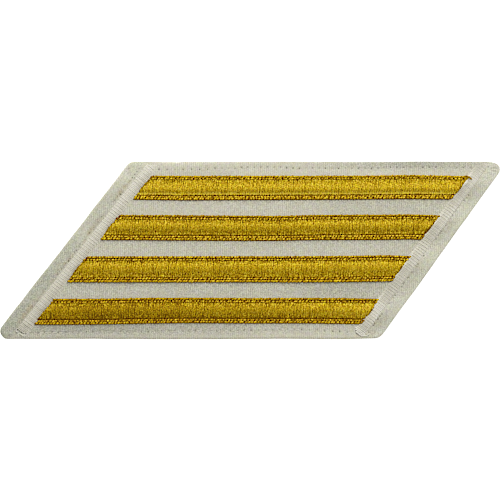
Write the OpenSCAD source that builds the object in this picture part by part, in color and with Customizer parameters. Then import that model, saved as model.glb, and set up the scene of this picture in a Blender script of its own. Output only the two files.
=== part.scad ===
// A set of parallel stripes embroidered on a slanted cloth patch, to be sewn on a sleeve.
// X runs along the stripes, Y across them, and Z up from the surface that the patch lies on.
// The origin is under the middle of the patch. All sizes are in millimetres.

/* [Stripes] */
// Number of stripes, counted from the top
stripe_count = 4; // [1:1:8]
// Distance between the middles of neighbouring stripes
stripe_pitch = 15.9; // [13:0.1:20]
// Length of a stripe along its middle
stripe_len = 123.8; // [80:0.2:180]
// Width of a stripe, with its cords
stripe_w = 9.7; // [8:0.1:12]
// Width of the satin in the middle of a stripe
satin_w = 6.2; // [5:0.1:6.4]
// Height of the satin over the cloth
satin_h = 1.3; // [0.8:0.05:2]
// Height of the cords over the cloth
cord_h = 0.7; // [0.6:0.05:0.9]
// Angle between the stripes and their cut ends, in degrees
stripe_slant = 53.1; // [45:0.1:75]

/* [End bands] */
// Width of the white band along each slanted end, square to its run
band_w = 4; // [2:0.1:5]
// Height of the band over the cloth
band_h = 0.95; // [0.6:0.05:1.5]
// Distance from the ends of the band to the folds above and below
band_inset = 1.4; // [0.5:0.1:4]

/* [Patch] */
// Cloth above the first stripe
top_margin = 5.5; // [4:0.1:12]
// Cloth below the last stripe
bottom_margin = 6; // [4:0.1:12]
// Cloth left of the stripes, along them
left_margin = 12; // [11:0.1:20]
// Cloth right of the stripes, along them
right_margin = 11.4; // [11:0.1:20]
// Angle between the stripes and the folded ends, in degrees
patch_slant = 53.5; // [45:0.1:75]
// Radius of the two sharp corners
sharp_corner_r = 2.9; // [2:0.1:6]
// Radius of the two blunt corners
blunt_corner_r = 4; // [2:0.1:8]

/* [Cloth and hem] */
// Thickness of the cloth
cloth_t = 1; // [1:0.05:1.2]
// Gap between the cloth and the hem that is turned under it
hem_slit = 0.15; // [0.1:0.05:0.3]
// Width of the hem at the top and bottom
long_hem_w = 6.5; // [4:0.1:8]
// Width of the hem at the slanted ends
end_hem_w = 9.4; // [6.4:0.1:10]
// Distance from the top and bottom folds to the hem's seam
long_seam_in = 2.9; // [2.4:0.1:3.4]
// Distance from the end folds to the hem's seam
end_seam_in = 5.2; // [4.6:0.1:5.8]
// Depth to which the seam draws the cloth down
seam_dip = 0.3; // [0.1:0.05:0.4]

/* [Hidden] */
STRIPES = [for (i = [1 : stripe_count]) str("stripe_", i)];
$fn = 64;

cloth_colour = [0.80, 0.79, 0.72];
white_thread_colour = [0.90, 0.89, 0.84];
gold_thread_colour = [0.80, 0.65, 0.15];
cord_colour = [0.68, 0.52, 0.10];

patch_w = stripe_len + left_margin + right_margin;
patch_h = (stripe_count - 1) * stripe_pitch + stripe_w + top_margin + bottom_margin;
stripes_x = (left_margin - right_margin) / 2;
stripes_y = (bottom_margin - top_margin) / 2;
hem_t = 2 * cloth_t + hem_slit;
fold_r = hem_t / 2;
dip_slope_w = 1;
fold_steps = 8;
corner_steps = 8;
least_corner_r = 0.4;
piece_gap = 0.05;
lay_z = hem_t + piece_gap;
cord_pair_w = (stripe_w - satin_w) / 2 - piece_gap;
cord_r = min(0.31 * cord_pair_w, 0.9 * cord_h);
satin_side_h = 0.35 * satin_h;
band_side_h = 0.3 * band_h;
// How far a cutting shape stands clear of what it cuts
clear = 1;

function stripe_y(i) = stripes_y + ((stripe_count + 1) / 2 - i) * stripe_pitch;

// The stripes' ends lie on one slanted line at each side of the patch
function stripe_x(i) = stripes_x + stripe_y(i) / tan(stripe_slant);

// One rounded corner at the right end of the patch, above the middle for side 1 and below it
// for side -1, moved in from the long folds and from the end folds
function corner(side, r, long_in, end_in, from, to) =
    let (y = side * (patch_h / 2 - long_in - r))
    let (x = patch_w / 2 + y / tan(patch_slant) - (end_in + r) / sin(patch_slant))
    [for (k = [0 : corner_steps])
        let (a = from + (to - from) * k / corner_steps)
        [x + r * cos(a), y + r * sin(a)]];

// The patch's outline, moved in by long_in from its top and bottom and by end_in from its ends.
// Its left half is its right half turned about the middle
function outline(long_in, end_in) =
    let (moved = min(long_in, end_in))
    let (blunt = max(blunt_corner_r - moved, least_corner_r))
    let (sharp = max(sharp_corner_r - moved, least_corner_r))
    let (right = concat(
        corner(-1, blunt, long_in, end_in, -90, patch_slant - 90),
        corner(1, sharp, long_in, end_in, patch_slant - 90, 90)))
    concat(right, -1 * right);

// The folded cloth's section, from its face over the fold and back to the hem's raw edge.
// Columns: distance in from the long folds, distance in from the end folds, height
SECTION = concat(
    [
        [long_seam_in + dip_slope_w / 2, end_seam_in + dip_slope_w / 2, hem_t],
        [long_seam_in,                   end_seam_in,                   hem_t - seam_dip],
        [long_seam_in - dip_slope_w,     end_seam_in - dip_slope_w,     hem_t],
    ],
    [for (k = [0 : fold_steps])
        let (a = 180 * k / fold_steps)
        let (fold_in = fold_r * (1 - sin(a)))
        [fold_in, fold_in, fold_r * (1 + cos(a))]],
    [
        [long_hem_w,                     end_hem_w,                     0],
        [long_hem_w,                     end_hem_w,                     cloth_t],
        [long_seam_in,                   end_seam_in,                   cloth_t - seam_dip / 2],
        [fold_r,                         fold_r,                        cloth_t],
        [fold_r,                         fold_r,                        cloth_t + hem_slit],
        [long_seam_in,                   end_seam_in,                   cloth_t + hem_slit - seam_dip / 2],
        [long_hem_w,                     end_hem_w,                     cloth_t + hem_slit],
    ]);

// A closed skin through rings of points, each ring with the same number of points
module skin_through(rings) {
    n = len(rings[0]);
    last = len(rings) - 1;
    polyhedron(
        points = [for (ring = rings) each ring],
        faces = concat(
            [[for (i = [n - 1 : -1 : 0]) i]],
            [[for (i = [0 : n - 1]) last * n + i]],
            [for (k = [0 : last - 1], i = [0 : n - 1])
                let (a = k * n + i)
                let (b = k * n + (i + 1) % n)
                each [[a, b, a + n], [a + n, b, b + n]]]));
}

module backing_cloth() {
    color(cloth_colour)
        skin_through([for (row = SECTION)
            [for (p = outline(row[0], row[1])) [p[0], p[1], row[2]]]]);
}

// A flat-bottomed section with upright sides and a round top
module dome_section(w, side_h, h) {
    rise = h - side_h;
    r = (w * w / 4 + rise * rise) / (2 * rise);
    intersection() {
        translate([0, h - r]) circle(r);
        translate([-w / 2, 0]) square([w, h + clear]);
    }
}

// Two round cords side by side, joined at their feet
module cord_pair_section() {
    for (side = [-1, 1])
        translate([side * cord_pair_w / 4, 0])
            intersection() {
                union() {
                    translate([0, cord_h - cord_r]) circle(cord_r);
                    translate([-cord_pair_w / 4, 0]) square([cord_pair_w / 2, cord_h - cord_r]);
                }
                translate([-cord_pair_w / 4, 0]) square([cord_pair_w / 2, cord_h + clear]);
            }
}

// Draws a section out along X, with the section's own axes turned to Y and Z
module run_along_x(length) {
    rotate([90, 0, 90]) linear_extrude(length, center = true) children();
}

// The space between the slanted ends of a stripe
module between_stripe_ends() {
    half_w = stripe_w / 2 + clear;
    half_l = stripe_len / 2;
    run = half_w / tan(stripe_slant);
    translate([0, 0, -clear])
        linear_extrude(satin_h + 2 * clear)
            polygon([
                [-half_l - run, -half_w], [half_l - run, -half_w],
                [half_l + run, half_w], [-half_l + run, half_w]]);
}

// Lays a section along stripe i, at side_y from the stripe's middle
module lay_on_stripe(i, side_y) {
    translate([stripe_x(i), stripe_y(i), lay_z])
        intersection() {
            translate([0, side_y, 0]) run_along_x(stripe_len + 2 * stripe_w) children();
            between_stripe_ends();
        }
}

module stripe_satin(i) {
    color(gold_thread_colour)
        lay_on_stripe(i, 0) dome_section(satin_w, satin_side_h, satin_h);
}

// The pair of cords above the satin for side 1 and below it for side -1
module stripe_cords(i, side) {
    color(cord_colour)
        lay_on_stripe(i, side * (stripe_w - cord_pair_w) / 2) cord_pair_section();
}

// The band beside the stripe ends, at the right for side 1 and at the left for side -1
module end_band(side) {
    off_x = stripe_len / 2 + (piece_gap + band_w / 2) / sin(stripe_slant);
    band_h_y = patch_h - 2 * band_inset;
    color(white_thread_colour)
        translate([0, 0, lay_z])
            intersection() {
                translate([stripes_x + side * off_x, 0, 0])
                    rotate([0, 0, stripe_slant])
                        run_along_x(2 * patch_h) dome_section(band_w, band_side_h, band_h);
                translate([-patch_w, -band_h_y / 2, -clear])
                    cube([2 * patch_w, band_h_y, band_h + 2 * clear]);
            }
}

backing_cloth();
end_band(-1);  // left_end_band
end_band(1);  // right_end_band
for (i = [1 : stripe_count]) {
    stripe_satin(i);
    stripe_cords(i, 1);
    stripe_cords(i, -1);
}
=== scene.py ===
import math

import bpy
import numpy as np
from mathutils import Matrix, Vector
from mathutils.geometry import delaunay_2d_cdt


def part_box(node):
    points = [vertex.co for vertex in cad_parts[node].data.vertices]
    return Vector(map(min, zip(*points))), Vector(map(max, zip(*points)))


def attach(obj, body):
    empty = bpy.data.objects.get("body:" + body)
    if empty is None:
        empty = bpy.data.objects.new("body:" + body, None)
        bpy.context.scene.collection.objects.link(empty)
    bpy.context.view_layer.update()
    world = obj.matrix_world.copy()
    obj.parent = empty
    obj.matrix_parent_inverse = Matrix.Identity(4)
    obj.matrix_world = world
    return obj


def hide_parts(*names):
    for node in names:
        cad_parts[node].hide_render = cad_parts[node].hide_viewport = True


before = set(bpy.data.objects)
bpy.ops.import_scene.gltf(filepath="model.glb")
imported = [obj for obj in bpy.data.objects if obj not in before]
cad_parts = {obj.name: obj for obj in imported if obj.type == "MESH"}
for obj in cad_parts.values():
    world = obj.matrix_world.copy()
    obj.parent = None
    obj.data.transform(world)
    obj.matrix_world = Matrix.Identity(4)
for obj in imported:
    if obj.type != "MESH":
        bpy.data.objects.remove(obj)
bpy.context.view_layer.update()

# Lengths are in millimetres, and MM makes metres of them. Only the light and the floor are given
# in metres.
MM = 0.001

# The view: where the camera looks, how far off it is, and how far it leans from straight above.
LOOK_AT = (-1.0, -0.45, 2.2)
CAMERA_DISTANCE = 330
CAMERA_TILT = math.radians(7.92)
CAMERA_LENS = 61.9
SENSOR = 36
WORLD_STRENGTH = 0.60
SHARPENING = 0.06

# The cloth patch and its hem, as in the CAD model.
CLOTH_LOW, CLOTH_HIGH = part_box("backing_cloth")
CLOTH_TOP = CLOTH_HIGH.z / MM
CLOTH_T = 1.0
HEM_SLIT = 0.15
FOLD_R = CLOTH_TOP / 2
PATCH_SLANT = math.radians(53.5)
PATCH_SIN = math.sin(PATCH_SLANT)
PATCH_SLOPE = math.tan(PATCH_SLANT)
PATCH_H = (CLOTH_HIGH.y - CLOTH_LOW.y) / MM
PATCH_W = 147.2
SHARP_CORNER_R = 2.9
BLUNT_CORNER_R = 4.0
LEAST_CORNER_R = 0.4
LONG_HEM_W = 6.5
END_HEM_W = 9.4
LONG_SEAM_IN = 2.7
END_SEAM_IN = 4.9
# How much lower than the stripes the right margin is pulled in by them
RIGHT_SAG = 1.6
# Spacing of the cloth's ribs, of the points along its outline, over its face and over its back
RIB_PITCH = 0.768
OUTLINE_STEP = 1.1
FACE_STEP = 0.62
BACK_STEP = 2.0

# The stripes and the white bands at their ends.
STRIPE_COUNT = sum(name.endswith("_satin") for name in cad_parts)
STRIPES_TOP_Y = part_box("stripe_1_upper_cords")[1].y / MM
STRIPES_LOW_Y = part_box(f"stripe_{STRIPE_COUNT}_lower_cords")[0].y / MM
STRIPES_MID_Y = (STRIPES_TOP_Y + STRIPES_LOW_Y) / 2
STRIPE_PITCH = 15.9
STRIPE_SLANT = math.radians(53.1)
STRIPE_SLOPE = math.tan(STRIPE_SLANT)
STRIPE_LEN = 123.8
STRIPE_W = 9.7
THREAD_PITCH = 0.4
BACK_THREAD_PITCH = 0.5
BAND_THREAD_PITCH = {-1: 0.58, 1: 0.56}
STITCH_PITCH = 1.15
# Shorter threads than these are left out of the satin, and of the bands and the back.
LEAST_SATIN = 0.3
LEAST_THREAD = 0.8
ALONG_X = np.array([1.0, 0, 0])
ALONG_Y = np.array([0, 1.0, 0])

# The satin of each stripe, from the top one down
SATIN = {
    # How far the crest is above the middle
    "crest": (-1.25, 0.1, 0.05, 0.25),
    # Tones, evenly spaced from the left end to the right one
    "tones": ((0.54, 0.56), (0.46, 0.46), (0.47, 0.47, 0.5), (0.38, 0.24, 0.31, 0.38, 0.4, 0.47, 0.6)),
    # The painted highlight below the upper edge: how far below, how wide, how bright
    "painted_highlight": ((2.9, 1.2, 0.06), (1.8, 0.6, 0.13), (1.5, 0.5, 0.15), (0.9, 0.3, 0.2)),
    # How dark the painted shade at the upper and the lower edge is
    "dark_edges": ((0.45, 1.0), (0.32, 0.9), (0.4, 1.4), (0.3, 1.6)),
    # The painted shade on the flank above the lower edge: how far above, how dark
    "flank": ((1.9, 0.1), (1.4, 0.1), (1.4, 0.08), (1.4, 0.06)),
    # The painted highlight on the lip below the flank: how far above the edge, how wide, how bright
    "lip": ((0.7, 0.42, 0.65), (0.5, 0.22, 0.25), (0.5, 0.22, 0.1), (0.5, 0.22, -0.25)),
    # How far the upper and the lower foot reach out
    "reach": ((0.45, 0.05), (0.2, -0.12), (0.15, 0.2), (0.15, -0.05)),
    # How far the left and the right end are moved to the right
    "ends": ((0.55, 0.6), (0.2, 0.4), (0.1, 0.45), (0.1, 0.65)),
    # The depth of the dent in the left end
    "dent": (0.45, 0.45, 0.0, 0.0),
    # How much further the upper and the lower right tip reach
    "tips": ((0.2, -0.1), (0.3, -0.1), (0.5, 0.1), (-0.6, 0.1)),
}
# The outer and the inner corded row of each stripe's borders. Columns: distance from the border's
# outer edge, half width, tone, evenness from 0 to 1
CORD_ROWS = {
    "upper": (
        ((0.38, 0.37, 0.1, 0.75), (1.18, 0.38, -0.06, 0.0)),
        ((0.37, 0.36, -0.02, 0.65), (1.32, 0.42, -0.03, 0.0)),
        ((0.44, 0.36, 0.04, 0.1), (1.38, 0.38, -0.06, 0.0)),
        ((0.43, 0.38, 0.0, 0.6), (1.38, 0.38, -0.06, 0.0))),
    "lower": (
        ((0.48, 0.4, 0.03, 0.1), (1.12, 0.34, 0.04, 0.0)),
        ((0.5, 0.38, 0.05, 0.15), (1.3, 0.38, 0.05, 0.0)),
        ((0.42, 0.42, 0.08, 0.65), (1.32, 0.34, 0.0, 0.1)),
        ((0.46, 0.38, -0.05, 0.25), (1.2, 0.4, -0.16, 0.1))),
}
# How far the hand-guided edges of each stripe are out of line. Columns: place along the patch,
# move of the upper edge, move of the lower edge
EDGE_WANDER = {
    1: ((-60, -0.2, 0.1), (-47, -0.28, 0.1), (-38, -0.38, -0.06), (-28, -0.42, -0.27),
        (20, -0.42, 0.02), (45, -0.34, 0.12), (62, -0.06, 0.3), (75, -0.32, 0.15), (83, -0.6, 0.15)),
    2: ((-55, 0.1, 0.1), (-30, 0.0, -0.08), (0, -0.22, -0.18), (9, -0.31, -0.18), (25, 0.11, 0.1),
        (50, 0.2, 0.22), (60, 0.36, 0.36), (67, 0.12, 0.22), (72, -0.12, 0.22)),
    3: ((-60, -0.03, -0.35), (20, 0.03, -0.35), (38, 0.16, -0.2), (52, 0.42, 0.0), (60, 0.02, -0.05)),
    4: ((-80, -0.45, -0.55), (-60, -0.45, -0.5), (-40, -0.12, -0.1), (-24, -0.1, 0.08),
        (0, -0.24, -0.05), (20, -0.16, -0.03), (38, -0.26, -0.25), (47, -0.48, -0.25)),
}
# The snipped end that lies over the white band at the right tip of the first stripe
SNIPPED_END = ((82.3, 28.45, 3.0), (83.2, 28.3, 3.2), (84.1, 27.8, 3.3), (84.8, 27.1, 3.25))

# Distances from the middle of each white band to its inner and outer foot, and how far below the
# middle of the patch its round lower end begins
BAND_REACH = {-1: (2.25, 1.8), 1: (2.25, 2.15)}
BAND_END_Y = {-1: -30.0, 1: -31.2}
# How much lighter the right band is painted along its run, as light and shade on it. Columns: place along
# Y, change of tone
RIGHT_BAND_LIGHT = (
    (-32.5, 0.45), (-30, -0.2), (-26, 0.28), (-22, 0.28), (-18.5, -0.14), (-15, -0.1), (-10, 0.1),
    (0, 0.08), (3, -0.08), (12, 0.08), (18, -0.12), (24, -0.03), (27.5, 0.2), (30, -0.2), (32, -0.45))
# Thread loops at the bands' lower ends. Columns: place x and y, size, start and turn in radians
LOOPS = {
    -1: ((-88.6, -31.2, 0.9, 1.5, 2.9), (-86.6, -31.7, 1.6, 3.6, 1.4), (-86.4, -32.9, 0.6, 4.2, 2.0)),
    1: ((41.7, -31.7, 1.7, 2.4, 2.9), (41.6, -31.9, 1.0, 2.0, 3.9), (42.8, -32.0, 1.3, 4.0, 1.9)),
}

# Where the cloth is painted greyer, or lighter for amounts below 0, for its wear and as painted light and
# shade.
# Columns: place x and y, reach along x and y, amount
WEAR_AND_SHADE_SPOTS = (
    (-65, -30.5, 35, 3.0, 0.32),
    (30, -30.5, 30, 3.0, -0.26),
    (5, -34.0, 75, 1.5, -0.36),
    (64, 34.0, 34, 2.5, 0.7),
    (-40, 34.0, 45, 2.0, -0.14),
    (-24, 30.0, 14, 2.0, 0.12),
    (30, 30.0, 30, 2.0, -0.1),
    (55, 16.0, 30, 4.0, 0.2),
    (33, -16.0, 14, 4.0, 0.3),
    (-66, 6.0, 3, 2.0, -0.3),
    (-79, -11.5, 3.5, 4.0, 0.14),
    (-52, 29.0, 5, 3.0, -0.28),
    (-63, 7.0, 2.5, 6.0, -0.15),
    (91, 30.0, 4, 2.5, 0.15),
    (-91.6, -31.8, 2.5, 2.5, -0.3),
)
# How dark the painted shadow along the lower edge of each stripe is
PAINTED_STRIPE_SHADOW = (0.32, 0.38, 0.4, 0.28)
# Where the edges of the cloth are out of line: the top right corner, which was cut short before it
# was folded, a nick in the top fold, the bottom fold, the right end and the round lower left corner.
# Columns: place x and y, reach along x and y, move along x and y
PUSHED = (
    (94.5, 34, 2.6, 2.6, 0, -0.35),
    (-29.5, 34, 1.2, 1.2, 0, -0.15),
    (48, -34, 12, 1.5, 0, 0.15),
    (96, 29, 7, 7, 0.25, 0),
    (-97, -34.5, 2, 2, 0.55, 0.45),
)
# The needle rows of the top and the bottom hem.
# Columns: place along the patch, distance in from the fold, distance to the next hole
NEEDLE_ROWS = {
    1: ((-48.2, 3.1, 2.7), (-45.4, 3.2, 2.8), (-42.7, 3.25, 3.13), (-18, 3.25, 3.12), (-15, 2.9, 2.53),
        (-7, 2.9, 2.53), (-4, 2.5, 2.53), (11, 2.5, 2.53), (14, 2.85, 2.53),
        (47, 2.85, 2.53), (52, 2.5, 2.53), (72, 2.5, 2.53), (90, 2.9, 3.0)),
    -1: ((-84.0, 2.4, 2.6), (-59, 2.45, 2.55), (-56, 2.8, 2.65), (-40, 2.85, 2.65), (-37, 3.15, 2.55),
         (8, 3.2, 2.7), (12, 3.5, 2.8), (21, 3.5, 2.9), (25, 3.2, 2.9), (34, 2.8, 2.8),
         (35, 2.7, 2.8), (35.3, 2.6, 5.3), (40.5, 2.2, 5.3), (40.9, 2.2, 1.5), (43.9, 2.2, 1.5)),
}
# Needle holes and snags away from the hems. Columns: place x and y, depth from 0 to 1
STRAY_HOLES = (
    (-51.2, 21.3, 1.0), (-50.4, 22.1, 0.5), (-45.9, 27.6, 0.6), (-48.8, 16.5, 0.5), (-56.7, 10.3, 0.5),
    (-61.3, 7.5, 0.4), (-70.6, -4.9, 0.9), (-85.3, -22.2, 0.6), (-81.9, -20.3, 0.5), (-89.4, -31.0, 1.1),
    (-89.6, -32.3, 0.6), (-86.9, -32.1, 1.5), (-86.2, -33.7, 0.6), (-83.8, -32.0, 0.6), (83.4, 20.7, 0.5),
    (-87.6, -31.9, 1.2), (-86.1, -32.1, 0.8),
    (82.7, 19.8, 0.6), (72.4, 6.7, 0.6), (71.2, 5.2, 0.5), (59.2, -11.1, 0.6), (57.6, -13.0, 0.6),
    (54.1, -18.0, 0.7), (49.0, -25.2, 0.6), (48.2, -26.0, 0.7), (47.4, -27.1, 0.9), (19.9, 0.1, 0.4),
)
# Small wrinkles at the top right corner
SWIRL = (93.7, 31.0)


def wander(t, step, seed):
    """Smooth random values from -1 to 1 that change about once in each step of t."""
    knots = np.random.RandomState(seed).uniform(-1, 1, 997)
    place = np.asarray(t, float) / step + 300
    k = np.floor(place).astype(int)
    f = place - k
    f = f * f * (3 - 2 * f)
    return knots[k % 997] * (1 - f) + knots[(k + 1) % 997] * f


def wander_2d(x, y, step, seed):
    """Smooth random values from -1 to 1 over a plane."""
    knots = np.random.RandomState(seed).uniform(-1, 1, (251, 251))
    px, py = x / step + 90, y / step + 90
    i, j = np.floor(px).astype(int), np.floor(py).astype(int)
    f, g = px - i, py - j
    f, g = f * f * (3 - 2 * f), g * g * (3 - 2 * g)
    i, j = i % 250, j % 250
    low = knots[i, j] * (1 - f) + knots[i + 1, j] * f
    high = knots[i, j + 1] * (1 - f) + knots[i + 1, j + 1] * f
    return low * (1 - g) + high * g


def hump(distance, width):
    """1 at a distance of 0, falling smoothly to 0 at about twice the width."""
    return np.exp(-(distance / width) ** 2)


def spot(x, y, place_x, place_y, reach_x, reach_y):
    """1 at a place on the cloth, falling smoothly to 0 round it."""
    return hump(np.hypot((x - place_x) / reach_x, (y - place_y) / reach_y), 1)


def corners_of(node):
    """The lowest and the highest corner of a node's solid."""
    return (np.array(corner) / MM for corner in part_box(node))


def add_object(name, data):
    made = bpy.data.objects.new(name, data)
    bpy.context.scene.collection.objects.link(made)
    return made


# Camera and light

def make_camera():
    data = bpy.data.cameras.new("camera")
    data.sensor_width = SENSOR
    data.lens = CAMERA_LENS
    data.clip_start = 0.01
    camera = add_object("camera", data)
    back = Vector((0, -math.sin(CAMERA_TILT), math.cos(CAMERA_TILT)))
    camera.location = (Vector(LOOK_AT) + back * CAMERA_DISTANCE) * MM
    camera.rotation_euler = (CAMERA_TILT, 0, 0)
    bpy.context.scene.camera = camera


def make_light(name, place, size, watts):
    """A square soft light at a place in metres, turned to the middle of the patch."""
    data = bpy.data.lights.new(name, "AREA")
    data.size = size
    data.energy = watts
    light = add_object(name, data)
    light.location = place
    light.rotation_euler = (-Vector(place)).to_track_quat("-Z", "Y").to_euler()


def make_world(strength):
    world = bpy.data.worlds.new("studio")
    world.use_nodes = True
    background = world.node_tree.nodes["Background"].inputs
    background["Color"].default_value = (1, 1, 1, 1)
    background["Strength"].default_value = strength
    bpy.context.scene.world = world


def make_sharpening(amount):
    """The slight sharpening that a camera gives its pictures."""
    scene = bpy.context.scene
    scene.use_nodes = True
    tree = scene.node_tree
    tree.nodes.clear()
    picture = tree.nodes.new("CompositorNodeRLayers")
    sharpen = tree.nodes.new("CompositorNodeFilter")
    sharpen.filter_type = "SHARPEN"
    sharpen.inputs["Fac"].default_value = amount
    result = tree.nodes.new("CompositorNodeComposite")
    tree.links.new(picture.outputs["Image"], sharpen.inputs["Image"])
    tree.links.new(sharpen.outputs["Image"], result.inputs["Image"])


# Shader helpers

def feed(tree, socket, value):
    """Links a socket to another socket, or sets it to a value."""
    if isinstance(value, bpy.types.NodeSocket):
        tree.links.new(value, socket)
    else:
        socket.default_value = value


def add_node(tree, kind, inputs=None, **settings):
    """A shader node with its settings and its inputs."""
    made = tree.nodes.new("ShaderNode" + kind)
    for key, value in settings.items():
        setattr(made, key, value)
    for key, value in (inputs or {}).items():
        feed(tree, made.inputs[key], value)
    return made


def new_material(name, roughness, **shader_values):
    """A material with its main shader, whose constant values are set on its own sockets."""
    material = bpy.data.materials.new(name)
    material.use_nodes = True
    shader = material.node_tree.nodes["Principled BSDF"]
    shader.inputs["Roughness"].default_value = roughness
    for key, value in shader_values.items():
        shader.inputs[key.replace("_", " ")].default_value = value
    return material, material.node_tree, shader


def stretched(tree, scale, turn=0.0):
    """Object coordinates turned about Z, then scaled along X, Y and Z."""
    place = add_node(tree, "TexCoord").outputs["Object"]
    turned = add_node(tree, "VectorRotate", {"Vector": place, "Angle": turn}, rotation_type="Z_AXIS")
    scaled = add_node(tree, "Mapping", {"Vector": turned.outputs["Vector"], "Scale": scale})
    return scaled.outputs["Vector"]


def noise(tree, lumps, detail=1.0, roughness=0.5, turn=0.0, output="Fac"):
    """Noise from 0 to 1, or a colour of three such values, with its lumps a metre along each axis."""
    place = stretched(tree, lumps, turn)
    inputs = {"Vector": place, "Scale": 1.0, "Detail": detail, "Roughness": roughness}
    return add_node(tree, "TexNoise", inputs).outputs[output]


def remap(tree, value, low, high, from_low=0.0, from_high=1.0):
    """A value moved from one range to another."""
    inputs = {"Value": value, "From Min": from_low, "From Max": from_high, "To Min": low, "To Max": high}
    return add_node(tree, "MapRange", inputs).outputs["Result"]


def math_node(tree, operation, a, b):
    made = add_node(tree, "Math", operation=operation)
    for socket, value in zip(made.inputs, (a, b)):
        feed(tree, socket, value)
    return made.outputs["Value"]


def mix_colour(tree, factor, a, b, blend="MIX"):
    """Colours a and b mixed, where each is a colour or a socket."""
    made = add_node(tree, "Mix", data_type="RGBA", blend_type=blend)
    for key, value in (("Factor", factor), ("A", a), ("B", b)):
        sockets = [s for s in made.inputs if s.name == key and s.enabled]
        feed(tree, sockets[0], value)
    return [s for s in made.outputs if s.enabled][0]


def ramp(tree, value, stops):
    """A colour ramp through stops of (place, colour)."""
    made = add_node(tree, "ValToRGB", {"Fac": value})
    elements = made.color_ramp.elements
    while len(elements) < len(stops):
        elements.new(0.5)
    for element, (place, colour) in zip(elements, stops):
        element.position = place
        element.color = (*colour, 1)
    return made.outputs["Color"]


def wandering_hue(tree, colour, lumps, green, blue):
    """A colour whose green and blue wander by these shares, at this many lumps a metre."""
    noise_colour = noise(tree, (lumps, lumps, lumps), output="Color")
    parts = add_node(tree, "SeparateColor", {"Color": noise_colour}).outputs
    shift = add_node(tree, "CombineColor", {
        "Red": 1.0,
        "Green": remap(tree, parts["Green"], 1 - green, 1 + green, 0.25, 0.75),
        "Blue": remap(tree, parts["Blue"], 1 - blue, 1 + blue, 0.25, 0.75)}).outputs["Color"]
    return mix_colour(tree, 1.0, colour, shift, "MULTIPLY")


def attribute(tree, name):
    return add_node(tree, "Attribute", attribute_name=name).outputs["Fac"]


def finish_surface(tree, shader, colour, height, strength, distance):
    """Gives the shader its colour and its bump."""
    tree.links.new(colour, shader.inputs["Base Color"])
    bump = add_node(tree, "Bump", {"Height": height, "Strength": strength, "Distance": distance})
    tree.links.new(bump.outputs["Normal"], shader.inputs["Normal"])


# Materials

def thread_material(name, tones, contrast, speckle, grain, hue, roughness, **shader_values):
    """Silky thread in a dark, a middle and a bright tone. The mesh says how bright each thread is.
    Fine noise stretched along the threads adds the single filaments, with the grain given as its
    turn and its lumps a metre across and along, and finer noise adds the glints of their twist.
    The hue is how far green and blue wander."""
    dark, body, bright = tones
    material, tree, shader = new_material(name, roughness, **shader_values)
    turn, across, along = grain
    filaments = noise(tree, (across, along, across), 2.0, turn=turn)
    glints = noise(tree, (2700, 2700, 900))
    tone = attribute(tree, "tone")
    for part, reach in ((filaments, contrast), (glints, speckle)):
        tone = math_node(tree, "ADD", tone, remap(tree, part, -reach, reach, 0.25, 0.75))
    colour = ramp(tree, tone, [(0.0, dark), (0.5, body), (1.0, bright)])
    colour = wandering_hue(tree, colour, 1100, *hue)
    finish_surface(tree, shader, colour, filaments, 0.5, 0.00006)
    return material


def cloth_material():
    """Off-white cloth with fine upright ribs, a little mottling, soil in the seams, wear, painted light
    and shade, and painted shade in the needle holes and wrinkles.
    """
    material, tree, shader = new_material("white_cloth", 0.9, Sheen_Weight=0.15, Specular_IOR_Level=0.2)
    ribs = add_node(tree, "TexWave", {
        "Vector": stretched(tree, (1, 0.2, 1)), "Scale": math.pi / 10 / (RIB_PITCH * MM),
        "Distortion": 0.6, "Detail": 2.0, "Detail Scale": 1.2, "Detail Roughness": 0.6},
        wave_type="BANDS", bands_direction="X").outputs["Fac"]
    weave = noise(tree, (2700, 2900, 2000), 1.0, 0.6)
    mottle = noise(tree, (900, 650, 800), 3.0, 0.6)
    clouds = noise(tree, (45, 60, 40), 2.0)
    depth = remap(tree, attribute(tree, "wear_and_shade"), 0.16, 0.38, 0.35, 0.7)
    # The margins outside the bands keep a coarser weave.
    depth = math_node(tree, "MAXIMUM", depth, remap(tree, attribute(tree, "cool"), 0.0, 0.24))
    weave_light = math_node(tree, "MULTIPLY", remap(tree, weave, -1, 1, 0.25, 0.75), depth)
    light = remap(tree, ribs, 0.93, 1.065)
    for part in (math_node(tree, "ADD", weave_light, 1.0),
                 remap(tree, mottle, 0.95, 1.05, 0.3, 0.7),
                 remap(tree, clouds, 0.97, 1.03, 0.3, 0.7)):
        light = math_node(tree, "MULTIPLY", light, part)
    colour = (0.685, 0.656, 0.525, 1)
    # Columns: the mesh's value, the colour that it leads to, how that is mixed in. The first holds wear
    # with painted light and shade, the soil painted shade in the wrinkles too, and the last painted shade
    # in the needle holes.
    for name, other, blend in (
            ("wear_and_shade", (0.365, 0.362, 0.288, 1), "MIX"),
            ("cool", (0.975, 1.0, 0.995, 1), "MULTIPLY"),
            ("soil_and_shade", (0.42, 0.37, 0.26, 1), "MIX"),
            ("hole_shade", (0.14, 0.125, 0.09, 1), "MIX")):
        colour = mix_colour(tree, attribute(tree, name), colour, other, blend)
    colour = mix_colour(tree, 1.0, colour, light, "MULTIPLY")
    colour = wandering_hue(tree, colour, 600, 0.05, 0.09)
    height = math_node(tree, "ADD", ribs, remap(tree, weave, 0, 0.7))
    finish_surface(tree, shader, colour, height, 0.35, 0.00005)
    return material


def floor_material():
    material, _, shader = new_material("white_floor", 0.9, Specular_IOR_Level=0.0)
    shader.inputs["Base Color"].default_value = (0.25, 0.25, 0.25, 1)
    shader.inputs["Emission Color"].default_value = (1, 1, 1, 1)
    shader.inputs["Emission Strength"].default_value = 0.95
    return material


def make_floor():
    mesh = bpy.data.meshes.new("floor")
    reach = 2
    corners = [(-reach, -reach, 0), (reach, -reach, 0), (reach, reach, 0), (-reach, reach, 0)]
    mesh.from_pydata(corners, [], [(0, 1, 2, 3)])
    mesh.materials.append(floor_material())
    add_object("floor", mesh)


# Mesh helpers

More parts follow.
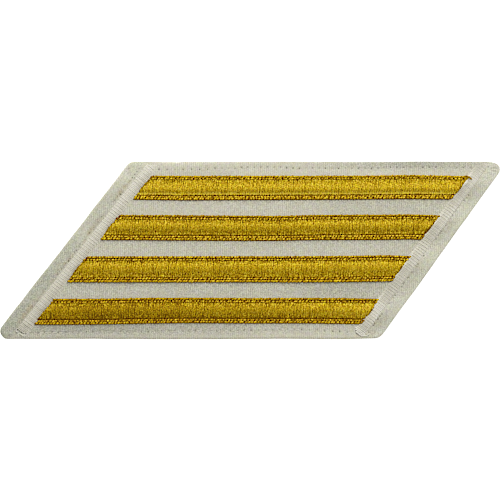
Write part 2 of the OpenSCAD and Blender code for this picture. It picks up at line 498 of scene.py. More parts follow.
def build(name, parts, material, replaced=()):
    """One object from parts, each a dict of points, faces of equal size, and values for each point."""
    points = np.concatenate([p["points"] for p in parts])
    starts = np.cumsum([0] + [len(p["points"]) for p in parts])
    face_sets = [f + start for p, start in zip(parts, starts) for f in p["faces"] if len(f)]
    loops = np.concatenate([f.ravel() for f in face_sets])
    totals = np.concatenate([np.full(len(f), f.shape[1]) for f in face_sets])
    mesh = bpy.data.meshes.new(name)
    mesh.vertices.add(len(points))
    mesh.vertices.foreach_set("co", (points * MM).astype(np.float32).ravel())
    mesh.loops.add(len(loops))
    mesh.loops.foreach_set("vertex_index", loops.astype(np.int32))
    mesh.polygons.add(len(totals))
    mesh.polygons.foreach_set("loop_start", (np.cumsum(totals) - totals).astype(np.int32))
    mesh.polygons.foreach_set("use_smooth", np.ones(len(totals), bool))
    for key in parts[0]["values"]:
        values = np.concatenate([np.broadcast_to(p["values"][key], len(p["points"])) for p in parts])
        mesh.attributes.new(key, "FLOAT", "POINT").data.foreach_set("value", values.astype(np.float32))
    mesh.update(calc_edges=True)
    mesh.validate()
    mesh.materials.append(material)
    piece = add_object(name, mesh)
    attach(piece, "root")
    if replaced:
        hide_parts(*replaced)
    return piece


def tubes(rings, tone):
    """Closed tubes through rings of points (tube, step, side, xyz), with a tone for each step."""
    count, steps, sides, _ = rings.shape
    index = np.arange(count * steps * sides).reshape(count, steps, sides)
    turned = np.roll(index, -1, axis=2)
    quads = np.stack([index[:, :-1], turned[:, :-1], turned[:, 1:], index[:, 1:]], axis=-1)
    caps = np.concatenate([index[:, 0, ::-1], index[:, -1]])
    tone = np.repeat(np.broadcast_to(tone, (count, steps)), sides)
    return {"points": rings.reshape(-1, 3), "faces": [quads.reshape(-1, 4), caps],
            "values": {"tone": tone}}


def sweep(paths, across, half_w, half_h, tone, sides=6):
    """Threads swept along paths (thread, step, xyz). Their width runs towards across."""
    count, steps, _ = paths.shape
    ahead = np.gradient(paths, axis=1)
    ahead /= np.linalg.norm(ahead, axis=2, keepdims=True)
    side = across - (ahead @ across)[..., None] * ahead
    side /= np.linalg.norm(side, axis=2, keepdims=True)
    up = np.cross(side, ahead)
    half_w = np.broadcast_to(half_w, (count, steps))[..., None, None]
    half_h = np.broadcast_to(half_h, (count, steps))[..., None, None]
    angle = (2 * math.pi * (np.arange(sides) + 0.5) / sides)[:, None]
    rings = (paths[:, :, None] + side[:, :, None] * half_w * np.cos(angle)
             + up[:, :, None] * half_h * np.sin(angle))
    return tubes(rings, tone)


def ridge(spine, across, section, tone, rise=1.0):
    """A strip under threads. Its section is pairs of (offset, height), laid out along across and
    up, and rise scales the heights along the spine."""
    section = np.array(section)
    points = spine[:, None] + section[:, :1] * np.asarray(across, float)
    points[..., 2] += section[:, 1] * np.broadcast_to(rise, len(spine))[:, None]
    part = tubes(points[None], tone)
    # The section runs the other way round than a thread's ring, so the faces are turned over.
    part["faces"] = [faces[:, ::-1] for faces in part["faces"]]
    return part


def footed(offsets, heights, foot):
    """A ridge's section whose two ends go straight down to its foot."""
    return [(offsets[0], foot), *zip(offsets, heights), (offsets[-1], foot)]


# The cloth

def outline(long_in, end_in):
    """The patch's outline moved in from its long folds and from its ends, as a ring of points."""
    corners = []
    for side, radius, start, end in (
            (-1, BLUNT_CORNER_R, -math.pi / 2, PATCH_SLANT - math.pi / 2),
            (1, SHARP_CORNER_R, PATCH_SLANT - math.pi / 2, math.pi / 2)):
        r = max(radius - min(long_in, end_in), LEAST_CORNER_R)
        y = side * (PATCH_H / 2 - long_in - r)
        x = PATCH_W / 2 + y / PATCH_SLOPE - (end_in + r) / PATCH_SIN
        angle = np.linspace(start, end, 9)
        corners.append(np.stack([x + r * np.cos(angle), y + r * np.sin(angle)], axis=1))
    # The left half is the right one turned about the middle.
    corners += [-arc for arc in corners]
    ring = []
    for arc, following in zip(corners, corners[1:] + corners[:1]):
        gap = following[0] - arc[-1]
        full = PATCH_W if abs(gap[1]) < 1 else PATCH_H / PATCH_SIN
        steps = round(full / OUTLINE_STEP)
        ring.extend(arc)
        ring.extend(arc[-1] + gap * k / steps for k in range(1, steps))
    return np.array(ring)


def from_middle(x, y):
    """Distance to the right of the slanted line through the middle of the patch."""
    return x - y / PATCH_SLOPE


def ends_in(x, y):
    """Distance in from the nearer slanted end of the patch."""
    return (PATCH_W / 2 - np.abs(from_middle(x, y))) * PATCH_SIN


def folds_in(y):
    """Distance in from the nearer long fold."""
    return PATCH_H / 2 - np.abs(y)


def drift(x, y):
    """How far the soft edges of the cloth wander in the plane."""
    dx = 0.13 + 0.16 * wander_2d(x, y, 14, 3) + 0.07 * wander_2d(x, y, 4, 4)
    dy = 0.12 * wander_2d(x, y, 16, 5) + 0.06 * wander_2d(x, y, 5, 6)
    for *place, move_x, move_y in PUSHED:
        near = spot(x, y, *place)
        dx, dy = dx + move_x * near, dy + move_y * near
    return np.stack([dx, dy], axis=1)


def end_margin(x, y):
    """1 outside the white bands, 0 inside them."""
    return np.clip(END_SEAM_IN + 1 - ends_in(x, y), 0, 1)


def gap_wave(y):
    """1 in the middle of a gap between stripes, -1 in the middle of a stripe."""
    return np.cos(2 * math.pi * (y - STRIPES_MID_Y) / STRIPE_PITCH)


def pulled_in(y):
    """1 where a stripe pulls in the right side of the patch, -1 between the stripes. Both lie a
    little lower than the stripes, most so near the last one."""
    return -gap_wave(y + RIGHT_SAG + np.interp(y, (-30, -22, -12), (3.0, 5.0, 0.0)))


def wear_and_shade(x, y):
    """How grey the cloth is painted, from 0 to 1, for its wear and as painted light and shade. It is
    painted a little darker downwards.
    """
    grey = 0.475 - 0.0037 * y
    for *place, amount in WEAR_AND_SHADE_SPOTS:
        grey = grey + 0.75 * amount * spot(x, y, *place)
    end_in = ends_in(x, y)
    left = from_middle(x, y) < 0
    # The left margin is painted darker downwards, the right one with painted shade where the cloth is
    # pulled in by a stripe.
    pulled = pulled_in(y)
    grey = grey + end_margin(x, y) * np.where(left, 0.16 - 0.0036 * y, -0.09 + 0.13 * pulled)
    grey = grey + np.where(left, 0, 0.14 * pulled - 0.04) * hump(end_in - END_SEAM_IN, 1.3)
    # A painted shadow lies close below each stripe, and a painted light line close above it.
    for i, painted_shadow in enumerate(PAINTED_STRIPE_SHADOW, start=1):
        below = line_y(i, x, -STRIPE_W / 2) - y
        above = y - line_y(i, x, STRIPE_W / 2)
        change = painted_shadow * np.where(below > -0.5, np.exp(-below / 1.5), 0) - 0.15 * hump(above - 0.1, 0.5)
        grey = grey + change * (end_in > END_HEM_W)
    # The bottom fold and the ends are painted lighter, as light on their round rims.
    grey = grey - np.where(y > 0, 0.0, 0.3) * hump(folds_in(y), 0.8) - 0.35 * hump(end_in, 0.8)
    return np.clip(grey, 0, 1)


def seam_holes():
    """Places of the needle holes in the two long hems: x, y and depth from 0 to 1."""
    rows = []
    for side, least, seed in ((1, 0.15, 11), (-1, 0.35, 12)):
        rng = np.random.RandomState(seed)
        places, distance_in, step = np.array(NEEDLE_ROWS[side]).T
        x = [places[0]]
        while x[-1] < places[-1]:
            x.append(x[-1] + np.interp(x[-1], places, step))
        x = np.array(x) + rng.uniform(-0.12, 0.12, len(x))
        y = side * (PATCH_H / 2 - np.interp(x, places, distance_in)) + rng.uniform(-0.08, 0.08, len(x))
        depth = np.minimum(least + 0.9 * rng.uniform(0, 1, len(x)), 1)
        rows.append(np.stack([x, y, depth], axis=1))
    return rows


def band_holes(side):
    """Needle holes in the valley outside the white band at the right for side 1."""
    rng = np.random.RandomState(30 + side)
    along = np.arange(-41, 41, 1.35)
    along = along + rng.uniform(-0.35, 0.35, len(along))
    centre = side * (PATCH_W / 2 - END_SEAM_IN / PATCH_SIN)
    inwards = -side * rng.uniform(-0.1, 0.3, len(along))
    depth = (0.9 if side > 0 else 0.8) * rng.uniform(0, 1, len(along)) ** 1.5
    x = centre + along * math.cos(PATCH_SLANT) + inwards
    return np.stack([x, along * PATCH_SIN, depth], axis=1)


def face_height(x, y, holes):
    """Height of the cloth's face, with its values for soil, painted shade in the wrinkles and painted
    shade in the needle holes.
    """
    fold_in, from_seam = folds_in(y), ends_in(x, y) - END_SEAM_IN
    z = CLOTH_TOP + 0.05 * wander_2d(x, y, 11, 7) + 0.03 * wander_2d(x, y, 3.5, 8)
    puff = 1 + 0.4 * wander(x, 9, 9)
    z += 0.04 * puff * hump(fold_in - 1.6, 0.8) - 0.02 * hump(fold_in - LONG_SEAM_IN, 0.5)
    # The cloth outside the white bands swells up to them, and between the stripes it is pushed up.
    z += 0.3 * hump(from_seam - 0.4, 1.4)
    inside = np.clip((fold_in - 4) / 2, 0, 1) * np.clip((from_seam - 1.1) / 2, 0, 1)
    z += 0.10 * inside * gap_wave(y)
    swirl = np.hypot((x - SWIRL[0]) / 1.8, y - SWIRL[1])
    wrinkles = np.cos(swirl * 4.7) * hump(swirl, 1.7)
    z += 0.11 * wrinkles
    left = from_middle(x, y) < 0
    beside_stripe = 0.5 + 0.5 * np.where(left, -gap_wave(y), pulled_in(y))
    # Soil lies in the valleys outside the bands, most beside the stripes, and painted shade in the
    # troughs of the wrinkles.
    valley = np.where(left, 1.15 * hump(from_seam + 0.2, 0.9), 0.5 * hump(from_seam + 1.3, 1.5))
    patchy = 0.75 + 0.5 * wander(y, 5, 10) + 0.8 * wander_2d(x, y, 0.8, 13)
    soil_and_shade = valley * (0.05 + 0.8 * beside_stripe) * patchy * np.clip((28 - y) / 3, 0, 1)
    soil_and_shade += 0.25 * beside_stripe * hump(from_seam - 0.1, 0.3)
    soil_and_shade += 0.35 * np.maximum(-wrinkles, 0)
    # Each needle hole is painted dark, as shade in it.
    hole_shade = np.zeros_like(x)
    for hole_x, hole_y, depth in holes:
        near = np.abs(x - hole_x) < 1.5
        far = np.hypot(x[near] - hole_x, y[near] - hole_y)
        z[near] -= 0.35 * depth * hump(far, 0.26)
        hole_shade[near] = np.maximum(hole_shade[near], depth * hump(far, 0.24))
    return z, np.clip(soil_and_shade, 0, 1), hole_shade


def filled(ring, spacing, extra=()):
    """Triangles over the area inside a ring: its points, then evenly spaced ones, then extra."""
    low, high = ring.min(0), ring.max(0)
    rows = np.arange(low[1], high[1], spacing * 0.866)
    inner = []
    for k, y in enumerate(rows):
        x = np.arange(low[0] + (k % 2) * spacing / 2, high[0], spacing)
        inner.append(np.stack([x, np.full(len(x), y)], axis=1))
    inner = np.concatenate(inner)
    fold_in = ring[:, 1].max() - np.abs(inner[:, 1])
    end_in = (from_middle(*ring.T).max() - np.abs(from_middle(*inner.T))) * PATCH_SIN
    clear = np.minimum(fold_in, end_in) > 0.45 * spacing
    points = np.concatenate([ring, inner[clear], *extra])
    edge = list(range(len(ring)))
    loop = [(i, (i + 1) % len(ring)) for i in edge]
    found = delaunay_2d_cdt([Vector(p) for p in points.tolist()], loop, [edge], 1, 1e-5)
    return np.array([tuple(v) for v in found[0]]), np.array(found[2])


def fine_points(holes):
    """More points for the cloth's face, round its needle holes and over its wrinkles."""
    eighths = np.arange(8) * math.pi / 4
    circles = [(r * math.cos(a), r * math.sin(a)) for r in (0.16, 0.34) for a in eighths]
    round_holes = holes[:, None, :2] + np.array([(0, 0), *circles])
    over_swirl = np.stack(np.meshgrid(np.arange(-3, 3.1, 0.25), np.arange(-1.9, 2, 0.22)), axis=-1)
    points = np.concatenate([round_holes.reshape(-1, 2), over_swirl.reshape(-1, 2) + SWIRL])
    clear_of_edge = 1.3
    return points[np.minimum(folds_in(points[:, 1]), ends_in(*points.T)) > clear_of_edge]


def hem_section():
    """The cloth's section from its face over the fold, along the hem's underside, and back through
    its slit: distance in from the long folds, distance in from the ends, height."""
    section = []
    for angle in np.linspace(0, math.pi, 11)[1:]:
        fold_in = FOLD_R * (1 - math.sin(angle))
        section.append((fold_in, fold_in, FOLD_R * (1 + math.cos(angle))))
    seam_half, seam_depth = 0.7, 0.18
    slit_end = FOLD_R + 0.3
    return section + [
        (LONG_SEAM_IN - seam_half, END_SEAM_IN - seam_half, 0.0),
        (LONG_SEAM_IN, END_SEAM_IN, seam_depth),
        (LONG_SEAM_IN + seam_half, END_SEAM_IN + seam_half, 0.0),
        (LONG_HEM_W, END_HEM_W, 0.0),
        (LONG_HEM_W, END_HEM_W, CLOTH_T),
        (slit_end, slit_end, CLOTH_T),
        (FOLD_R, FOLD_R, CLOTH_T + HEM_SLIT / 2),
        (slit_end, slit_end, CLOTH_T + HEM_SLIT),
        (LONG_HEM_W, END_HEM_W, CLOTH_T + HEM_SLIT)]


def make_cloth(material):
    """One closed skin: the face, rings round the hem, and the back inside it."""
    holes = np.concatenate([*seam_holes(), band_holes(1), band_holes(-1), STRAY_HOLES])
    rim = outline(FOLD_R, FOLD_R)
    ring_size = len(rim)
    face, triangles = filled(rim, FACE_STEP, [fine_points(holes)])
    assert np.allclose(face[:ring_size], rim)
    z, soil_and_shade, hole_shade = face_height(*face.T, holes)
    blend = np.clip(np.minimum(folds_in(face[:, 1]), ends_in(*face.T)) - FOLD_R, 0, 1)
    z = CLOTH_TOP + (z - CLOTH_TOP) * blend

    rings = [np.column_stack([outline(long_in, end_in), np.full(ring_size, height)])
             for long_in, end_in, height in hem_section()]
    last = rings[-1][:, :2]
    back, back_triangles = filled(last, BACK_STEP)
    assert np.allclose(back[:ring_size], last)
    back_z = CLOTH_T + HEM_SLIT + 0.06 * wander_2d(*back.T, 6, 21)

    # The face's first points are the rim, and the back's first points are the last ring.
    points = np.concatenate([
        np.column_stack([face, z]), *rings, np.column_stack([back, back_z])[ring_size:]])
    starts = len(face) + ring_size * np.arange(len(rings))
    index = [start + np.arange(ring_size) for start in (0, *starts)]
    strips = [np.stack([a, b, np.roll(b, -1), np.roll(a, -1)], axis=1) for a, b in zip(index, index[1:])]
    x, y = points[:, :2].T
    # The values hold soil, wear with painted light and shade, and painted shade in the needle holes.
    back_wear = 0.4
    clean = np.zeros(len(points) - len(face))
    values = {"soil_and_shade": np.concatenate([soil_and_shade, clean]), "hole_shade": np.concatenate([hole_shade, clean]),
              "wear_and_shade": np.where(points[:, 2] > FOLD_R, wear_and_shade(x, y), back_wear), "cool": end_margin(x, y)}
    points[:, :2] += drift(x, y)
    part = {"points": points, "faces": [triangles, *strips, (starts[-1] + back_triangles)[:, ::-1]],
            "values": values}
    cloth = build("cloth_patch", [part], material, ["backing_cloth"])


# The gold stripes

def crossing_threads(low, high, profile, foot, shoulder_low, shoulder_high):
    """Offsets across and heights along threads that rise from the foot at low, lie on a profile,
    and go down again at high. Both come back as (thread, step)."""
    quarter = np.linspace(0, math.pi / 2, 4)
    start = low + shoulder_low * (1 - np.cos(quarter))
    end = high - shoulder_high * (1 - np.cos(quarter[::-1]))
    middle = start[:, -1:] + (end[:, :1] - start[:, -1:]) * np.linspace(0, 1, 14)[1:-1]
    rise = [(profile(start[:, -1:]) - foot) * np.sin(quarter), profile(middle) - foot,
            (profile(end[:, :1]) - foot) * np.sin(quarter[::-1])]
    return np.concatenate([start, middle, end], axis=1), foot + np.concatenate(rise, axis=1)


def stripe_frame(i):
    """Middle, half width, foot and height of stripe i's satin."""
    low, high = corners_of(f"stripe_{i}_satin")
    return (low + high)[:2] / 2, (high - low)[1] / 2, low[2], (high - low)[2]


def stripe_ends(i, offset):
    """Places of stripe i's left and right end at an offset from its middle."""
    left, right = SATIN["ends"][i - 1]
    upper_tip, lower_tip = SATIN["tips"][i - 1]
    middle = stripe_frame(i)[0][0] + offset / STRIPE_SLOPE
    dent = SATIN["dent"][i - 1] * hump(offset + 2.2, 1.5)
    tip = upper_tip * hump(offset - 4.6, 1.6) + lower_tip * hump(offset + 4.0, 2.5)
    return middle - STRIPE_LEN / 2 + left + dent, middle + STRIPE_LEN / 2 + right + tip


def line_y(i, x, offset):
    """Place along Y of the line along stripe i at an offset from its middle."""
    places, upper, lower = np.array(EDGE_WANDER[i]).T
    share = offset / STRIPE_W + 0.5
    out_of_line = np.interp(x, places, lower) * (1 - share) + np.interp(x, places, upper) * share
    return stripe_frame(i)[0][1] + offset + out_of_line


def stripe_spine(i, offset, z, inset):
    """Points along stripe i at an offset from its middle, that far in from its ends."""
    left, right = stripe_ends(i, offset)
    x = np.linspace(left + inset, right - inset, 120)
    return np.stack([x, line_y(i, x, offset), np.full(len(x), z)], axis=1)


def padded_height(offset, crest, half, height):
    """Height of satin over a round padding with a flat foot at each side, its crest off the middle."""
    foot_h = 0.36 * height
    reach = half - 0.45 + np.where(offset > crest, -crest, crest)
    share = np.clip(np.abs(offset - crest) / reach, 0, 1)
    return foot_h + (height - foot_h) * 0.5 * (1 + np.cos(math.pi * share))


def make_satin(i, material):
    """Threads laid side by side across stripe i over its padding."""
    _, half, foot, height = stripe_frame(i)
    satin = {name: values[i - 1] for name, values in SATIN.items()}
    crest = satin["crest"]
    rng = np.random.RandomState(100 + i)
    left, right = stripe_ends(i, 0)
    x = np.arange(left - half / STRIPE_SLOPE, right + half / STRIPE_SLOPE, THREAD_PITCH)
    x = x + rng.uniform(-0.05, 0.05, len(x))
    reach_up, reach_down = satin["reach"]
    offsets = np.linspace(-half - 1, half + 1, 60)
    left_line, right_line = stripe_ends(i, offsets)
    high = np.minimum(half + reach_up, np.interp(x, left_line, offsets))
    low = np.maximum(-half - reach_down, np.interp(x, right_line, offsets))
    kept = high - low > LEAST_SATIN
    x, low, high = x[kept, None], low[kept, None], high[kept, None]
    # True where a thread ends on the slanted left or right end of the stripe
    cut_high, cut_low = high < half + reach_up, low > -half - reach_down
    count = len(x)
    group = wander(x, 0.95, 200 + i)
    half_h = 0.17

    def own_noise(y, lump, seed):
        """Noise along each thread that its neighbours hardly share."""
        return wander_2d(np.arange(count)[:, None] + 0 * y, y / lump, 1.0, seed)

    def profile(y):
        lift = 0.02 * group + 0.03 * own_noise(y, 0.9, 230 + i)
        return padded_height(y, crest, half, height) - half_h + lift

    # The threads come down gently at the right end, where the band presses on them.
    shoulder_low = np.minimum(np.where(cut_low, 0.8, 0.25), 0.4 * (high - low))
    shoulder_high = np.minimum(0.25, 0.4 * (high - low))
    across, rise = crossing_threads(low, high, profile, -0.5, shoulder_low, shoulder_high)
    lean = 0.4 + 0.3 * wander(x, 7, 210 + i) + rng.uniform(-0.15, 0.15, (count, 1))
    path_x = x + lean * across / (2 * half) + 0.1 * own_noise(across, 2.2, 220 + i)
    paths = np.stack([path_x, line_y(i, path_x, across), foot + rise], axis=-1)

    light = np.interp(x, np.linspace(left, right, len(satin["tones"])), satin["tones"])
    light = light + rng.uniform(-0.05, 0.05, (count, 1))
    # Bright and dark threads take turns, and change places every few stitches.
    turns = x / 0.85 + 0.5 * wander_2d(x + 0 * across, across, 0.9, 240 + i)
    from_low, from_high = across - low, high - across
    roughness = 0.75 + np.maximum(hump(from_low, 0.8), 1.2 * hump(from_high, 0.9))
    grain = 0.09 * np.cos(2 * math.pi * turns) + 0.27 * own_noise(across, 0.42, 245 + i)
    # Both edges and the slanted ends are painted dark, as shade where the threads turn down into the
    # cloth.
    dark_high, dark_low = satin["dark_edges"]
    shade_high = np.where(cut_high, 0.8, dark_high) * hump(from_high, np.where(cut_high, 0.75, 0.42))
    tip_low = np.where(cut_low, 0.5, 0.0)
    shade_low = np.where(cut_low, 0.45, dark_low) * hump(from_low - tip_low, np.where(cut_low, 0.7, 0.26))
    bites = 0.7 + 0.5 * wander(x, 0.8, 250 + i)
    tone = light + roughness * grain - bites * (shade_low + shade_high)
    # A painted highlight lies below the upper edge.
    highlight_at, highlight_reach, painted_highlight = satin["painted_highlight"]
    tone = tone + painted_highlight * hump(from_high - highlight_at, highlight_reach)
    # Above the lower edge the lip gets a painted highlight and the flank painted shade.
    lip_at, lip_reach, lip = satin["lip"]
    flank_at, flank = satin["flank"]
    beside_cord = ~cut_low
    tone = tone + beside_cord * lip * hump(from_low - lip_at, lip_reach)
    tone = tone - beside_cord * flank * hump(from_low - flank_at, 0.5)
    threads = sweep(paths, ALONG_X, 0.25, half_h, np.maximum(tone, 0.05))

    # The padding is painted dark, as shade in the gaps between the threads.
    offsets = np.linspace(-half + 0.1, half - 0.1, 11)
    section = footed(offsets, padded_height(offsets, crest, half, height) - 0.42, -0.5)
    padding = ridge(stripe_spine(i, 0, foot, 0.45), (1 / STRIPE_SLOPE, 1, 0), section, 0.12)
    build(f"satin_threads_{i}", [threads, padding], material, [f"stripe_{i}_satin"])


def stitch_row(i, offset, z, half_w, light, evenness, rng):
    """A cord of slanting stitches along stripe i, each like a grain of rice over the next. The more
    even a row is, the less its stitches show one by one."""
    half_h = 0.22
    start, end = stripe_ends(i, offset)
    first = np.linspace(start, end, round((end - start) / STITCH_PITCH) + 1)[:-1, None]
    first = first + rng.uniform(-0.28, 0.28, first.shape)
    length = np.minimum(STITCH_PITCH * rng.uniform(0.9, 1.3, first.shape), end - first + 0.1)
    t = np.linspace(0, 1, 8)
    side = rng.uniform(0.05, 0.45, first.shape)
    lift = rng.uniform(-0.07, 0.05, first.shape)
    x = first + length * t
    y = line_y(i, x, offset) + side * (2 * t - 1) + rng.uniform(-0.05, 0.05, first.shape)
    contrast = 1 - evenness
    swell = np.sin(math.pi * np.clip(t, 0.04, 0.96)) ** 0.6
    swell = 1 - (1 - swell) * (1 - 0.6 * evenness)
    height = z - half_h + lift - 0.32 * (1 - swell)
    # Each stitch is painted lighter in its middle and darker at its ends, as light on its top and shade
    # where it meets the next.
    tone = light - 0.25 + 0.6 * evenness + contrast * swell ** 2
    tone = tone + 0.5 * (1 + contrast) * rng.uniform(-0.2, 0.2, first.shape)
    # The upper border's left tip and the lower border's right tip are painted darker, as shade.
    tone[0 if offset > 0 else -1] -= 0.3
    return sweep(np.stack([x, y, height], axis=-1), ALONG_Y,
                 half_w * (0.45 + 0.55 * swell), half_h * (0.5 + 0.5 * swell), tone)


def loose_end(points, radius, tone):
    """A short loose bit of thread through a few points."""
    points = np.array(points, float)
    t = np.linspace(0, len(points) - 1, 5 * len(points))
    path = np.stack([np.interp(t, np.arange(len(points)), points[:, k]) for k in range(3)], axis=1)
    return sweep(path[None], np.array([0.3, 1.0, 0.2]), radius, radius, tone, 5)


def make_cords(i, border, material):
    """The two corded rows along one border of stripe i, over a ground painted dark as shade between the
    stitches.
    """
    node = f"stripe_{i}_{border}_cords"
    low, high = corners_of(node)
    rng = np.random.RandomState(300 + 10 * i + (border == "upper"))
    side = 1 if border == "upper" else -1
    parts = [stitch_row(i, side * (STRIPE_W / 2 - row_in), high[2], half_w, light, evenness, rng)
             for row_in, half_w, light, evenness in CORD_ROWS[border][i - 1]]
    half = (high[1] - low[1]) / 2
    # The ground reaches under the satin, and below the lower border a little out past the cords, as a
    # painted shadow at the edge.
    under_satin = 0.5
    start, end = (-half - under_satin, half) if side > 0 else (-half - 0.1, half + under_satin)
    foot = stripe_frame(i)[2] - 0.4
    top = foot + 0.55
    section = footed((start, start + 0.1, end - 0.1, end), (top - 0.1, top, top, top - 0.1), foot)
    spine = stripe_spine(i, side * (STRIPE_W / 2 - half), 0, 0.35)
    parts.append(ridge(spine, (1 / STRIPE_SLOPE, 1, 0), section, 0.1))
    if i == 1 and border == "upper":
        parts.append(loose_end(SNIPPED_END, 0.25, 0.32))
    build(f"{border}_cords_{i}", parts, material, [node])


# The white bands and the hem's stitches

def make_band(side, material):
    """Satin stitch across the slanted end, at the right for side 1."""
    node = "right_end_band" if side > 0 else "left_end_band"
    low, high = corners_of(node)
    rng = np.random.RandomState(400 + side)
    middle = np.array([(low[0] + high[0]) / 2, (low[1] + high[1]) / 2, low[2]])
    half_y = (high[1] - low[1]) / 2
    height = high[2] - low[2]
    inner, outer = BAND_REACH[side]
    right_reach, left_reach = (outer, inner) if side > 0 else (inner, outer)
    cos, sin = math.cos(STRIPE_SLANT), math.sin(STRIPE_SLANT)
    along_axis, across_axis = np.array([cos, sin, 0]), np.array([sin, -cos, 0])
    run = 2 * half_y / sin
    pitch = BAND_THREAD_PITCH[side]
    beyond = 2.5
    count = int((run + beyond) / pitch)
    along = ((np.arange(count) - (count - 1) / 2) * pitch)[:, None]
    down = 0.5 - along / run
    # 1 where the band lies beside a gap between stripes, 0 where it lies beside a stripe
    beside_gap = 0.5 + 0.5 * gap_wave(along * sin)
    # The threads lie in pairs, which show most where the band lies beside a gap.
    if side > 0:
        hatch = 0.06 + 0.28 * down + 0.30 * beside_gap
    else:
        hatch = 0.12 + (0.30 - 0.15 * down) * beside_gap
    hatch = hatch * (1 + 0.6 * wander(along, 4.0, 440 + side))
    # The right band's lowest stitches are wound round, white and close.
    wound = (side > 0) * np.clip((down - 0.9) / 0.06, 0, 1)
    hatch = hatch * (1 - 0.6 * wound)
    pair = hatch * (-1) ** np.arange(count)[:, None]
    group = wander(along, 0.9, 410 + side)
    along = along + 0.07 * pair + 0.12 * wander(along, 2.0, 420 + side)
    along = along + rng.uniform(-0.04, 0.04, (count, 1))
    y = along * sin
    half_h = 0.10
    round_y, round_r = BAND_END_Y[side], 2.1

    def fade(y):
        """The padding runs out towards the ends of the band."""
        share = np.clip(np.minimum(half_y - y, y - round_y + round_r) / 4.8, 0, 1)
        return 0.25 + 0.75 * share * (2 - share)

    def section_height(across):
        """Height over the cloth at a distance from the middle. The inner side runs out softly, the
        outer side is steep."""
        share = across / np.where(across > 0, right_reach, left_reach)
        steepness = np.where(across * side < 0, 1.0 if side < 0 else 0.9, 0.5)
        return 0.85 * height * np.maximum(np.cos(np.clip(share, -1, 1) * math.pi / 2), 0) ** steepness

    # Between the stripes the threads reach on over the cloth, each a little further or less.
    under_gold, over_cloth = (0.25, 0.05) if side > 0 else (0.35, 0.45)
    inner_reach = inner + under_gold + beside_gap * (over_cloth + rng.uniform(-0.25, 0.25, (count, 1)))
    # The right band leaves the upper tip of the first stripe free.
    inner_reach = inner_reach - 0.55 * (side > 0) * hump(y - 25.0, 1.1)
    outer_reach = outer + rng.uniform(-0.08, 0.08, (count, 1))
    reach_left, reach_right = (inner_reach, outer_reach) if side > 0 else (outer_reach, inner_reach)
    # The upper end of the band is cut off along X, the lower end is round.
    rounding = np.sqrt(1 - np.clip((round_y / sin - along) / round_r, 0, 1) ** 2)
    start = np.maximum(-reach_left * rounding, (y - half_y) / cos)
    stop = reach_right * rounding
    across = start + (stop - start) * np.linspace(0, 1, 17)
    lean = rng.uniform(-0.12, 0.12, (count, 1)) * hatch
    from_left, from_right = across + reach_left, reach_right - across
    from_inner, from_outer = (from_left, from_right) if side > 0 else (from_right, from_left)
    # The pairs of the right band close up towards the stripes, so that they don't show there.
    closed = (side > 0) * hump(from_inner, 1.25)
    shift = lean * across / 2 - 0.07 * pair * closed
    paths = middle + (along + shift)[..., None] * along_axis + across[..., None] * across_axis
    lift = (0.03 * pair + 0.02 * group) * (1 - 0.8 * closed)
    # The right band's threads bulge a little where they press on the stripes' ends.
    pressed = (side > 0) * (1 - beside_gap) * hump(from_inner - 0.75, 0.4)
    rise = section_height(across) * fade(paths[..., 1] - middle[1])
    paths[..., 2] += rise - half_h + lift + 0.16 * pressed

    # The left band is painted darker downwards, the right one with painted shade where a stripe pulls it
    # in.
    if side > 0:
        light = 0.28 - 0.15 * pulled_in(y) + np.interp(y, *zip(*RIGHT_BAND_LIGHT))
    else:
        light = 0.49 + 0.4 * (0.5 - down)
    own_tone = 0.08 * pair + 0.05 * group + rng.uniform(-0.07, 0.07, (count, 1))
    tone = light + own_tone * (1 - 0.6 * closed)
    # Beside the gaps the threads part a little, the left band's most at their inner ends.
    parted = (side < 0) * hump(from_inner, 1.2)
    half_w = 0.40 - beside_gap * (0.02 + 0.06 * parted)
    if side > 0:
        half_w = half_w - 0.12 * down ** 2 * hump(from_outer, 1.0)
        # Its inner rim is painted dark beside the gaps and light where it presses on the stripes' ends,
        # as shade and highlight, and its outer half is painted lighter, most so near the top.
        rim = 0.08 * hump(from_inner - 0.7, 0.5) - 0.4 * (1 - wound) * hump(from_inner, 0.25)
        tone = tone + beside_gap * rim + 0.3 * wound - 0.12 * hump(from_inner - 1.5, 0.7) + 0.8 * pressed
        upper = np.clip((y - 5) / 10, 0, 1)
        tone = tone + 0.18 * upper * hump(from_outer - 1.2, 0.9)
        tone = tone + 0.24 * hump(from_outer - 0.8, 0.8) + 0.06 * hump(from_outer - 0.4, 0.5)
    kept = (stop - start > LEAST_THREAD)[:, 0]
    threads = sweep(paths[kept], along_axis, half_w[kept], half_h, tone[kept])

    place = np.linspace(round_y + 0.8, half_y - 0.15, 80)
    spine = middle + place[:, None] * np.array([cos / sin, 1, 0])
    offsets = np.linspace(-0.96 * left_reach, 0.96 * right_reach, 15)
    section = footed(offsets, section_height(offsets) - 1.6 * half_h, -0.4)
    padding = ridge(spine, (1 / sin, 0, 0), section, 0.42, fade(place))
    build(f"{node}_threads", [threads, padding, *loose_loops(side)], material, [node])


def loose_loops(side):
    """Snagged loops at the lower end of the left band, and the end wound round at the right one."""
    rng = np.random.RandomState(430 + side)
    height, radius, tone = (2.34, 0.20, 1.0) if side > 0 else (2.62, 0.17, 0.9)
    parts = []
    for x, y, size, start, turn in LOOPS[side]:
        angle = start + np.linspace(0, turn, 7)
        stretch = rng.uniform(0.75, 0.95)
        lift = 0.12 * np.sin(angle - start)
        points = [x + size * np.cos(angle), y + stretch * size * np.sin(angle), height + lift]
        parts.append(loose_end(np.stack(points, axis=1), radius, tone))
    return parts


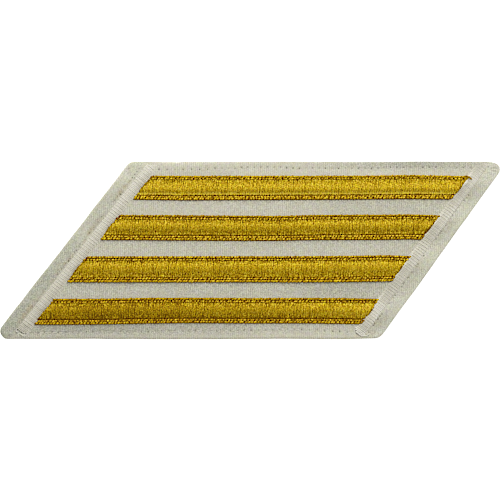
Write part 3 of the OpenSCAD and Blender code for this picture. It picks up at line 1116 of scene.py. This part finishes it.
def make_hem_stitches(material):
    """The thread that runs from hole to hole along the two long hems, on the face and on the back."""
    parts = []
    t = np.linspace(0.06, 0.94, 7)
    dip = 1 - np.sin(math.pi * t) ** 0.5
    for row in seam_holes():
        start, end = row[:-1, None, :2], row[1:, None, :2]
        place = start + (end - start) * t[:, None]
        for height, tone in ((CLOTH_TOP - 0.08 - 0.25 * dip, 0.40), (0.12 + 0.12 * dip, 0.45)):
            height = np.broadcast_to(height[:, None], (len(place), 7, 1))
            parts.append(sweep(np.concatenate([place, height], axis=2), ALONG_Y, 0.15, 0.1, tone, 5))
    build("hem_stitches", parts, material)


def make_back_threads(material):
    """The lower thread of the embroidery, which shows on the back inside the hem."""
    parts = []
    z = CLOTH_T + HEM_SLIT - 0.04
    t = np.linspace(0, 1, 6)
    for i in range(1, STRIPE_COUNT + 1):
        (_, mid_y), half, _, _ = stripe_frame(i)
        rng = np.random.RandomState(500 + i)
        left, right = stripe_ends(i, 0)
        reach = half - 0.5
        x = np.arange(left, right, BACK_THREAD_PITCH)
        x = x + rng.uniform(-0.06, 0.06, len(x))
        high = np.minimum(reach + rng.uniform(-0.4, 0.2, len(x)), (x - left) * STRIPE_SLOPE)
        low = np.maximum(-reach - rng.uniform(-0.4, 0.2, len(x)), (x - right) * STRIPE_SLOPE)
        kept = high - low > LEAST_THREAD
        x, low, high = x[kept, None], low[kept, None], high[kept, None]
        y = low + (high - low) * t
        paths = np.stack([x + 0.1 * y, mid_y + y, z - 0.1 * np.sin(math.pi * t) + 0 * y], axis=-1)
        tone = 0.45 + rng.uniform(-0.15, 0.15, (len(x), 1))
        parts.append(sweep(paths, ALONG_X, 0.24, 0.14, tone))
    build("back_threads", parts, material)


# The scene

make_camera()
make_world(WORLD_STRENGTH)
make_light("key", (0.15, 0.72, 0.68), size=0.5, watts=6.5)
make_sharpening(SHARPENING)
bpy.context.scene.view_settings.view_transform = "Standard"
bpy.context.scene.view_settings.look = "None"
make_floor()

cloth_look = cloth_material()
band_look = thread_material(
    "white_thread", [(0.47, 0.45, 0.36), (0.62, 0.595, 0.49), (0.735, 0.715, 0.615)],
    contrast=0.14, speckle=0.10, grain=(-STRIPE_SLANT, 900, 5000), hue=(0.03, 0.06),
    roughness=0.5, Specular_IOR_Level=0.3, Sheen_Weight=0.1)
gold_shine = {"roughness": 0.42, "Specular_IOR_Level": 0.4, "Specular_Tint": (1.0, 0.76, 0.03, 1)}
satin_look = thread_material(
    "gold_satin", [(0.14, 0.055, 0.002), (0.48, 0.30, 0.002), (0.85, 0.65, 0.055)],
    contrast=0.08, speckle=0.5, grain=(0.0, 5000, 700), hue=(0.13, 0.9), **gold_shine)
cord_look = thread_material(
    "gold_cord", [(0.16, 0.055, 0.003), (0.46, 0.26, 0.002), (0.89, 0.655, 0.04)],
    contrast=0.15, speckle=0.5, grain=(0.3, 1500, 4000), hue=(0.14, 0.9), **gold_shine)

make_cloth(cloth_look)
make_hem_stitches(band_look)
make_back_threads(band_look)
for side in (-1, 1):
    make_band(side, band_look)
for i in range(1, STRIPE_COUNT + 1):
    make_satin(i, satin_look)
    make_cords(i, "upper", cord_look)
    make_cords(i, "lower", cord_look)
